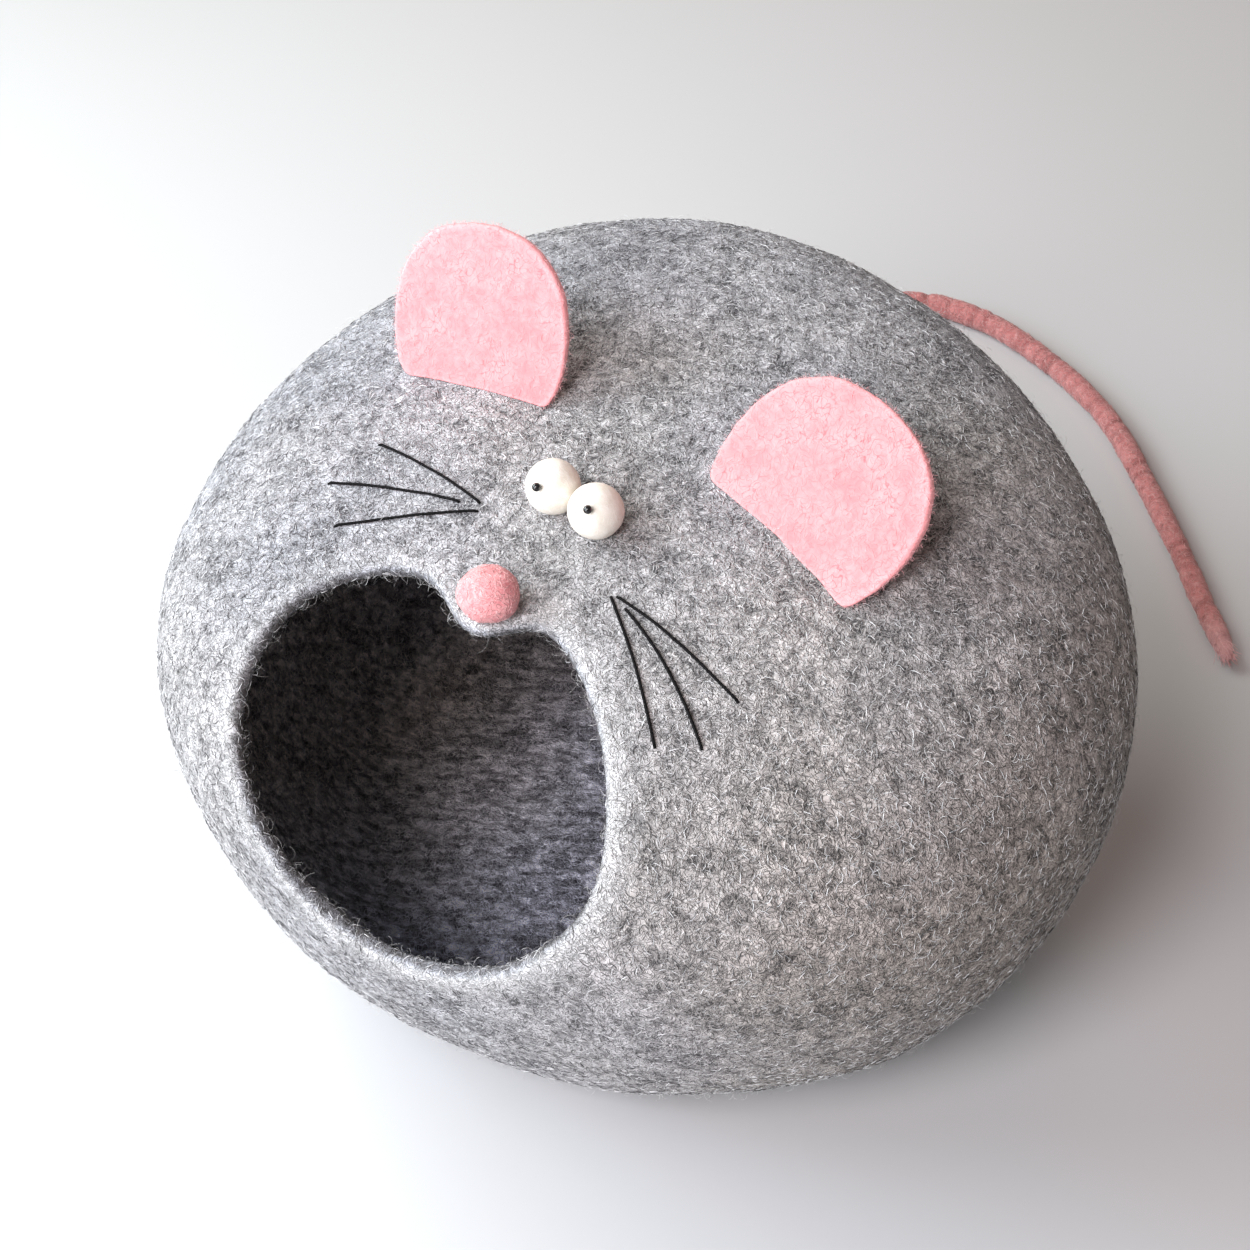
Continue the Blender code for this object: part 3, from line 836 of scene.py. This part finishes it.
# face: balls of wool, bead pupils and thread whiskers
face = {
    "eyeRadius": 0.0130,
    "pupilRadius": 0.0021,
    "seating": 0.93,
    "eyes": (
        {"name": "left", "above": (0.0125, -0.0364), "look": (0.305, -0.667, 0.680)},
        {"name": "right", "above": (-0.0136, -0.0358), "look": (0.107, -0.808, 0.580)},
    ),
    "nose": {"above": (-0.0006, -0.0948), "turn": math.radians(25), "sizes": (0.0144, 0.0134, 0.0127)},
    "eyeLumps": ((0.010, 0.00015), (0.003, 0.00005)),
    "noseLumps": ((0.012, 0.0008), (0.004, 0.0003)),
    "whiteWool": {
        "rough": 0.8, "sheen": 0.1, "gloss": 0.25,
        "curl": (0.005, 0.003), "clumps": 0.004, "strands": (0.0022, 0.04),
        "contrast": (0.35, 0.65), "shades": ((0.82, 0.76, 0.66), (0.89, 0.84, 0.76)),
        "layers": (("dark", 0.2, (0.72, 0.68, 0.60)), ("white", 0.3, (0.98, 0.97, 0.94))),
        "whiteRise": 0.3, "relief": 0.0002,
    },
    "roseWool": {
        "rough": 0.9, "sheen": 0.25, "gloss": 0.15,
        "curl": (0.005, 0.004), "clumps": 0.0035, "strands": (0.0019, 0.06),
        "contrast": (0.35, 0.65), "shades": ((0.72, 0.25, 0.265), (0.85, 0.385, 0.39)),
        "layers": (
            ("dark", 0.5, (0.58, 0.17, 0.19)), ("light", 0.3, (0.88, 0.46, 0.46)),
            ("white", 0.35, (0.94, 0.60, 0.60)),
        ),
        "whiteRise": 0.4, "relief": 0.0007,
    },
}


def makeBall(name, place, normal, along, sizes, waves, sides=72, rows=44):
    along = (along - normal * along.dot(normal)).normalized()
    across = normal.cross(along)
    centre = place + normal * (sizes[2] * face["seating"] + seatGap)
    points = []
    for row in range(1, rows):
        polar = math.pi * row / rows
        for column in range(sides):
            turn = 2 * math.pi * column / sides
            outward = along * sizes[0] * math.cos(turn) + across * sizes[1] * math.sin(turn)
            points.append(centre + outward * math.sin(polar) + normal * sizes[2] * math.cos(polar))
    points += [centre + normal * sizes[2], centre - normal * sizes[2]]
    for point in points:
        point += (point - centre).normalized() * ripple(point, waves, 1.0)
        point += normal * max(seatGap - (point - place).dot(normal), 0)
    faces = []
    last = (rows - 2) * sides
    for column in range(sides):
        after = (column + 1) % sides
        faces.append((len(points) - 2, column, after))
        faces.append((len(points) - 1, last + after, last + column))
        for row in range(rows - 2):
            a = row * sides
            faces.append((a + column, a + sides + column, a + sides + after, a + after))
    return newPiece(name, points, faces), centre


def blackBead():
    material, tree, shader, here = startFinish("black bead", 0.12, Coat_Weight=0.5)
    wear = cloudy(tree, here, 0.001, 2.0)
    colour = blend(tree, wear, (0.004, 0.004, 0.005), (0.012, 0.011, 0.012))
    endFinish(tree, shader, colour, wear, 0.00003)
    return material


def blackThread():
    material, tree, shader, here = startFinish("black thread", 0.7, 0.06)
    plies = cloudy(tree, here, 0.0006, 2.0)
    colour = blend(tree, spread(tree, plies, 0.3, 0.7), (0.002, 0.002, 0.002), (0.014, 0.013, 0.014))
    endFinish(tree, shader, colour, plies, 0.00015)
    return material


def makeFace():
    level = Vector((1, 0, 0))
    wool, bead = woolFinish("white wool", face["whiteWool"]), blackBead()
    for row in face["eyes"]:
        name, above = row["name"], row["above"]
        sizes = [face["eyeRadius"]] * 3
        eye, centre = makeBall(
            "wool_eye_" + name, seat(above)[0], broadNormal(above), level, sizes, face["eyeLumps"],
        )
        dress(eye, wool, "eye_" + name)
        look = Vector(row["look"]).normalized()
        front = centre + look * face["eyeRadius"]
        sizes = [face["pupilRadius"]] * 3
        pupil, _ = makeBall("bead_pupil_" + name, front, look, level, sizes, (), 32, 20)
        dress(pupil, bead, "pupil_" + name)
    row = face["nose"]
    place, normal = seat(row["above"])[0], broadNormal(row["above"])
    along = Vector((math.cos(row["turn"]), math.sin(row["turn"]), 0))
    nose, _ = makeBall("wool_nose", place, normal, along, row["sizes"], face["noseLumps"])
    dress(nose, woolFinish("rose wool", face["roseWool"]), "nose")
    return nose


woolNose = makeFace()


# whiskers: long stitches of two-ply black thread
whiskers = {
    "radius": 0.00065,
    "steps": 96,
    "sides": 12,
    "twist": 0.0026,    # one turn of the two plies
    "sink": 0.0012,    # how deep its two ends go into the felt
    "sinkOver": 0.03,    # over this share of its length
    "ply": (0.95, 0.17),    # its least thickness, and how much a ply adds, as shares of the radius
    "rows": (    # name, root and end seen from above, and how far its middle bows to one side
        ("whisker_right_1", (-0.0458, -0.0549), (-0.1169, -0.0507), -0.0015),
        ("whisker_right_2", (-0.0549, -0.0594), (-0.1237, -0.0802), -0.0012),
        ("whisker_right_3", (-0.0437, -0.0588), (-0.1011, -0.0988), 0.0),
        ("whisker_left_1", (0.0431, -0.0615), (0.1190, -0.0711), 0.0016),
        ("whisker_left_2", (0.0501, -0.0643), (0.1191, -0.0967), 0.003),
        ("whisker_left_3", (0.0408, -0.0630), (0.1024, -0.1081), 0.0014),
    ),
}


def makeWhisker(name, root, end, most, thread):
    root, end = Vector(root), Vector(end)
    steps = whiskers["steps"]
    sideways = Vector((root.y - end.y, end.x - root.x)).normalized()
    route = []
    for step in range(steps + 1):
        bow = most * math.sin(math.pi * step / steps)
        place, normal = seat(root.lerp(end, step / steps) + sideways * bow)
        fromEnd = min(step, steps - step) / steps
        sunk = whiskers["sink"] * (1 - softStep(fromEnd, 0, whiskers["sinkOver"]))
        route.append(place + normal * (whiskers["radius"] + seatGap - sunk))
    length = sum((b - a).length for a, b in zip(route, route[1:]))
    turns = length / whiskers["twist"]
    thin, ply = whiskers["ply"]

    def plies(index, turn):
        return thin + ply * abs(math.cos(turn - math.pi * turns * index / steps))

    rings = tubeRings(route, [whiskers["radius"]] * len(route), whiskers["sides"], plies)
    piece = closeTube("thread_" + name, rings, route[0], route[-1])
    dress(piece, thread, name)
    return piece


waxedThread = blackThread()
threads = [makeWhisker(*row, waxedThread) for row in whiskers["rows"]]
print("scene: face made")


# loose wool: short curly fibres that lie on the felt, and a few that stand away from it
fibres = {
    "shapes": 14,
    "sizes": (0.6, 1.35),
    "shortSizes": (0.4, 1.0),
    "clearOfThreads": 0.0017,
    "kinds": {
        "lying": {"share": "lyingShare", "length": 0.0055, "width": 0.00026, "steps": 3, "bend": 2.4,
                  "rise": (0.0, 0.0), "arch": 0.00042, "sunk": 0.00016},
        "standing": {"share": "strayShare", "length": 0.0062, "width": 0.00013, "steps": 4, "bend": 2.6,
                     "rise": (1.1, -0.4), "rooted": 0.0004},
        "hairs": {"share": "hairShare", "length": 0.0085, "width": 0.00009, "steps": 6, "bend": 2.6,
                  "rise": (1.0, -0.5), "rooted": 0.0004},
        "fuzz": {"share": "strayShare", "length": 0.0030, "width": 0.00012, "steps": 3, "bend": 1.6,
                 "rise": (1.2, 0.2), "rooted": 0.0004},
    },
    "layers": (    # name, what it grows on, kind, number in a square metre, seed, tilt, sizes, colour
        ("fibres_white", "pod", "lying", 29500, 3, 0.20, "sizes", (0.84, 0.835, 0.845)),
        ("fibres_light", "pod", "lying", 29500, 5, 0.16, "sizes", (0.55, 0.545, 0.555)),
        ("fibres_dark", "pod", "lying", 29500, 9, 0.14, "sizes", (0.09, 0.09, 0.092)),
        ("fibres_stray", "pod", "standing", 13500, 12, 0.45, "sizes", (0.70, 0.69, 0.69)),
        ("fibres_rim", "pod", "hairs", 42000, 14, 0.5, "sizes", (0.50, 0.48, 0.465)),
        ("fibres_ear_left", "earLeft", "lying", 22000, 21, 0.08, "shortSizes", (0.93, 0.43, 0.45)),
        ("fibres_ear_right", "earRight", "lying", 22000, 22, 0.08, "shortSizes", (0.93, 0.43, 0.45)),
        ("fibres_edge_left", "earLeft", "fuzz", 420000, 26, 0.6, "sizes", (0.94, 0.52, 0.54)),
        ("fibres_edge_right", "earRight", "fuzz", 420000, 27, 0.6, "sizes", (0.94, 0.52, 0.54)),
        ("fibres_nose", "nose", "lying", 150000, 23, 0.20, "shortSizes", (0.93, 0.60, 0.60)),
        ("fibres_tail", "tail", "lying", 80000, 24, 0.25, "sizes", (0.72, 0.40, 0.38)),
    ),
    "onRim": 1.5,    # how many more stray on the rim's outside
    "inRim": 0.7,    # how many stray on its inside
    "inside": 0.12,    # how many lie on the walls inside
    "outsideUpTo": 0.9,    # of the way round the rim
    "offFloor": (0.003, 0.013),    # none are below the first height, and all are above the second
}
tuft = {    # the tail's end frays into a small tuft
    "strands": 110,
    "length": (0.006, 0.013),
    "root": 0.014,    # the strands start within this of the end
    "past": (0.0015, 0.0055),    # and run past it by this much
    "rootReach": (0.25, 0.55),    # from its middle line, and more further from the end
    "width": 0.00030,
    "spread": 0.38,
    "curl": 0.28,
    "steps": 5,
    "colour": (0.90, 0.56, 0.56),
}


# a thin three-sided fibre along a line, closed to a point at each end
def fibreMesh(line, width):
    last = len(line) - 1
    points, faces = [line[0]], []
    side = Vector((0.3, 0.5, 0.8))
    for index in range(1, last):
        ahead = (line[index + 1] - line[index - 1]).normalized()
        side = (side - ahead * side.dot(ahead)).normalized()
        other = ahead.cross(side)
        for corner in range(3):
            turn = 2 * math.pi * corner / 3
            points.append(line[index] + (side * math.cos(turn) + other * math.sin(turn)) * width / 2)
    points.append(line[last])
    for corner in range(3):
        after = (corner + 1) % 3
        faces.append((0, 1 + after, 1 + corner))
        for index in range(last - 2):
            a = 1 + 3 * index
            faces.append((a + corner, a + after, a + 3 + after, a + 3 + corner))
        final = 1 + 3 * (last - 2)
        faces.append((final + corner, final + after, len(points) - 1))
    return points, faces


def curlyLine(picks, length, steps, bend, rise):
    heading, turnBy = picks.uniform(0, 2 * math.pi), picks.uniform(-bend, bend)
    place = Vector((0, 0, 0))
    line = [place.copy()]
    for step in range(steps):
        share = step / max(steps - 1, 1)
        lift = rise[0] + (rise[1] - rise[0]) * share
        flat = Vector((math.cos(heading), math.sin(heading), 0)) * math.cos(lift)
        place += (flat + Vector((0, 0, math.sin(lift)))) * length / steps
        heading += turnBy / steps
        line.append(place.copy())
    return line


def fibreShapes(name, kind):
    picks = random.Random(7)
    group = bpy.data.collections.new(name)
    bpy.context.scene.collection.children.link(group)
    for index in range(fibres["shapes"]):
        steps = kind["steps"]
        line = curlyLine(picks, kind["length"], steps, kind["bend"], kind["rise"])
        rooted = "rooted" in kind
        middle = Vector((0, 0, kind["rooted"])) if rooted else sum(line, Vector((0, 0, 0))) / len(line)
        for step, point in enumerate(line):
            point -= middle
            if not rooted:
                point.z += kind["arch"] * math.sin(math.pi * step / steps) - kind["sunk"]
        points, faces = fibreMesh(line, kind["width"])
        mesh = bpy.data.meshes.new(f"{name}_{index:02d}")
        mesh.from_pydata([tuple(point) for point in points], [], faces)
        mesh.shade_smooth()
        group.objects.link(bpy.data.objects.new(mesh.name, mesh))
    return group


# scatters the shapes over a mesh, thicker where the named share is higher
def fibreTree(shareName, number, seed, tilt, sizes, shapes, finish):
    tree = bpy.data.node_groups.new("scatter fibres", "GeometryNodeTree")
    for way in ("INPUT", "OUTPUT"):
        tree.interface.new_socket("Geometry", in_out=way, socket_type="NodeSocketGeometry")
    source = tree.nodes.new("NodeGroupInput").outputs[0]
    thick = addNode(tree, "GeometryNodeInputNamedAttribute", {"Name": shareName}, data_type="FLOAT")
    points = addNode(tree, "GeometryNodeDistributePointsOnFaces", {
        "Mesh": source, "Density": times(tree, number, thick.outputs["Attribute"]), "Seed": seed,
    }, distribute_method="RANDOM")
    clear = addNode(tree, "GeometryNodeObjectInfo", {"Object": keepClear}).outputs["Geometry"]
    near = addNode(tree, "GeometryNodeProximity", {0: clear}, target_element="FACES").outputs["Distance"]
    inputs = {0: near, 1: fibres["clearOfThreads"]}
    tooNear = addNode(tree, "FunctionNodeCompare", inputs, operation="LESS_THAN")
    kept = addNode(tree, "GeometryNodeDeleteGeometry", {
        "Geometry": points.outputs["Points"], "Selection": tooNear.outputs[0],
    }, domain="POINT")
    angles = addNode(tree, "FunctionNodeRandomValue", {
        "Min": (-tilt, -tilt, 0), "Max": (tilt, tilt, 2 * math.pi), "Seed": 1,
    }, data_type="FLOAT_VECTOR")
    spin = addNode(tree, "FunctionNodeEulerToRotation", {0: angles.outputs[0]})
    turned = addNode(tree, "FunctionNodeRotateRotation", {
        "Rotation": points.outputs["Rotation"], "Rotate By": spin.outputs[0],
    }, rotation_space="LOCAL")
    group = addNode(tree, "GeometryNodeCollectionInfo", {
        "Collection": shapes, "Separate Children": True, "Reset Children": True,
    })
    inputs = {2: sizes[0], 3: sizes[1], "Seed": 2}
    size = addNode(tree, "FunctionNodeRandomValue", inputs, data_type="FLOAT")
    pick = addNode(tree, "FunctionNodeRandomValue", {4: 0, 5: 1000, "Seed": 4}, data_type="INT")
    placed = addNode(tree, "GeometryNodeInstanceOnPoints", {
        "Points": kept.outputs[0], "Instance": group.outputs[0], "Pick Instance": True,
        "Instance Index": pick.outputs[2], "Rotation": turned.outputs[0], "Scale": size.outputs[1],
    })
    real = addNode(tree, "GeometryNodeRealizeInstances", {"Geometry": placed.outputs[0]})
    inputs = {"Geometry": real.outputs[0], "Material": finish}
    coloured = addNode(tree, "GeometryNodeSetMaterial", inputs)
    tree.links.new(coloured.outputs[0], tree.nodes.new("NodeGroupOutput").inputs[0])
    return tree


def pointsOf(mesh):
    points = np.empty(len(mesh.vertices) * 3)
    mesh.vertices.foreach_get("co", points)
    return points.reshape(-1, 3)


# one layer of fibres over a source mesh, as a plain mesh of its own
def scatter(name, source, tree):
    grown = newObject(name + "_growing", source.data.copy())
    modifier = grown.modifiers.new("scatter", "NODES")
    modifier.node_group = tree
    bpy.context.view_layer.update()
    evaluated = grown.evaluated_get(bpy.context.evaluated_depsgraph_get())
    mesh = bpy.data.meshes.new_from_object(evaluated)
    mesh.name = name
    points = pointsOf(mesh)
    points[:, 2] = np.maximum(points[:, 2], floorGap)
    mesh.vertices.foreach_set("co", points.ravel())
    grown.modifiers.remove(modifier)
    bpy.data.objects.remove(grown)
    return newObject(name, mesh)


def plainWool(name, colour):
    material, _, shader, _ = startFinish(name, 0.9, 0.12)
    shader.inputs["Base Color"].default_value = (*colour, 1)
    return material


def readShare(piece, name):
    values = np.empty(len(piece.data.vertices))
    piece.data.attributes[name].data.foreach_get("value", values)
    return values


# fibres lie all over the pod's outside and thinly inside, stray most at the rim, and none are underneath
def podFuzz():
    low, high = fibres["offFloor"]
    offFloor = np.clip((pointsOf(feltPod.data)[:, 2] - low) / (high - low), 0, 1)
    outside = readShare(feltPod, "insideShare") < fibres["outsideUpTo"]
    onRim = np.clip(readShare(feltPod, "rimShare") * 2 - 1, 0, 1)
    stray = np.where(outside, 1.0 + fibres["onRim"] * onRim, fibres["inRim"] * onRim)
    keepShare(feltPod, "lyingShare", np.where(outside, 1.0, fibres["inside"]) * offFloor)
    keepShare(feltPod, "strayShare", stray * offFloor)
    keepShare(feltPod, "hairShare", np.where(outside, onRim ** 2, 0))


def makeTuft():
    picks = random.Random(31)
    ahead = (tailLine[-1] - tailLine[-4]).normalized()
    up = Vector((0, 0, 1))
    side = ahead.cross(up).normalized()
    near, far = tuft["rootReach"]
    least, most = tuft["past"]
    points, faces = [], []
    for _ in range(tuft["strands"]):
        back = picks.uniform(0, tuft["root"])
        reach = tail["tipRadius"] * (near + far * back / tuft["root"])
        turn = picks.uniform(0, 2 * math.pi)
        out = side * math.cos(turn) + up * math.sin(turn)
        root = tailLine[-1] - ahead * back + out * reach
        way = (ahead + out * picks.uniform(-0.1, tuft["spread"])).normalized()
        curl = Vector([picks.uniform(-1, 1) for _ in range(3)]) * tuft["curl"]
        length = min(picks.uniform(*tuft["length"]), back + picks.uniform(least, most))
        line = []
        for step in range(tuft["steps"] + 1):
            along = step / tuft["steps"]
            point = root + way * length * along + curl * length * along * along
            point.z = max(point.z, seatGap)
            line.append(point)
        more, moreFaces = fibreMesh(line, tuft["width"])
        faces += [tuple(index + len(points) for index in corners) for corners in moreFaces]
        points += more
    return newPiece("fibres_tuft", points, faces)


podFuzz()
for piece in (*earPieces, woolNose, feltTail):
    keepShare(piece, "lyingShare", np.ones(len(piece.data.vertices)))
kept = bpy.data.meshes.new("threadsKeptClear")
joined = bmesh.new()
for thread in threads:
    joined.from_mesh(thread.data)
joined.to_mesh(kept)
joined.free()
keepClear = newObject("threadsKeptClear", kept)
grounds = {    # what the fibres grow on, and its slot
    "pod": (feltPod, "grey_felt"),
    "earLeft": (earPieces[0], "pink_felt"),
    "earRight": (earPieces[1], "pink_felt"),
    "nose": (woolNose, "rose_wool"),
    "tail": (feltTail, "tail_wool"),
}
shapeGroups = {name: fibreShapes(name + "Fibres", kind) for name, kind in fibres["kinds"].items()}
for name, on, kind, number, seed, tilt, sizes, colour in fibres["layers"]:
    shareName, finish = fibres["kinds"][kind]["share"], plainWool(name, colour)
    tree = fibreTree(shareName, number, seed, tilt, fibres[sizes], shapeGroups[kind], finish)
    source, slot = grounds[on]
    layer = scatter(name, source, tree)
    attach(layer, "root")
    layer.data.calc_loop_triangles()
    print("scene:", name, len(layer.data.loop_triangles), "triangles")
for group in shapeGroups.values():
    for shape in list(group.objects):
        bpy.data.objects.remove(shape)
    bpy.data.collections.remove(group)
bpy.data.objects.remove(keepClear)
tailTuft = makeTuft()
tailTuft.data.materials.append(plainWool("tuft wool", tuft["colour"]))
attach(tailTuft, "root")

print("scene: loose fibres laid")


# stage: a plain pale floor, broad soft light from the left and a softer one into the mouth
stage = {
    "floor": (0.58, 0.58, 0.585),
    "sky": (1.0, 0.94, 0.91),
    "skyStrength": 0.24,
    "aim": (0.0, 0.0, 0.12),
    "away": 2.0,
    "halfFloor": 12.0,
    "lights": (    # name, where it comes from, size, power, colour
        ("window", (-0.80, -0.643, 0.68), 1.2, 35, (0.82, 0.93, 1.0)),
        ("side", (-0.95, -0.05, 0.8), 1.2, 24, (0.96, 1.0, 0.96)),
        ("front", (0.15, -0.7, 0.78), 0.8, 23.5, (0.99, 0.92, 0.96)),
        ("low", (-0.08, -1.0, 0.34), 1.2, 26, (0.92, 0.96, 1.0)),
        ("warm", (-0.35, 0.75, 0.9), 1.2, 3, (1.0, 0.5, 0.3)),
    ),
}


def paleFloor():
    material, tree, shader, here = startFinish("pale floor", 0.6)
    darker = tuple(0.98 * part for part in stage["floor"])
    colour = blend(tree, cloudy(tree, here, 0.4, 2.0), darker, stage["floor"])
    tree.links.new(colour, shader.inputs["Base Color"])
    return material


def setStage():
    half = stage["halfFloor"]
    corners = [(-half, -half, 0), (half, -half, 0), (half, half, 0), (-half, half, 0)]
    floor = newPiece("floor", corners, [(0, 1, 2, 3)])
    floor.data.materials.append(paleFloor())
    world = bpy.data.worlds.new("studio")
    world.use_nodes = True
    background = world.node_tree.nodes["Background"]
    background.inputs["Color"].default_value = (*stage["sky"], 1)
    background.inputs["Strength"].default_value = stage["skyStrength"]
    bpy.context.scene.world = world
    for name, comesFrom, size, power, colour in stage["lights"]:
        data = bpy.data.lights.new(name, "AREA")
        data.shape = "DISK"
        data.size = size
        data.energy = power
        data.color = colour
        light = newObject(name, data)
        way = Vector(comesFrom).normalized()
        place = Matrix.Translation(Vector(stage["aim"]) + way * stage["away"])
        light.matrix_world = place @ way.to_track_quat("Z", "Y").to_matrix().to_4x4()
    bpy.context.scene.view_settings.view_transform = "Standard"


setStage()
print("scene: floor and light set")
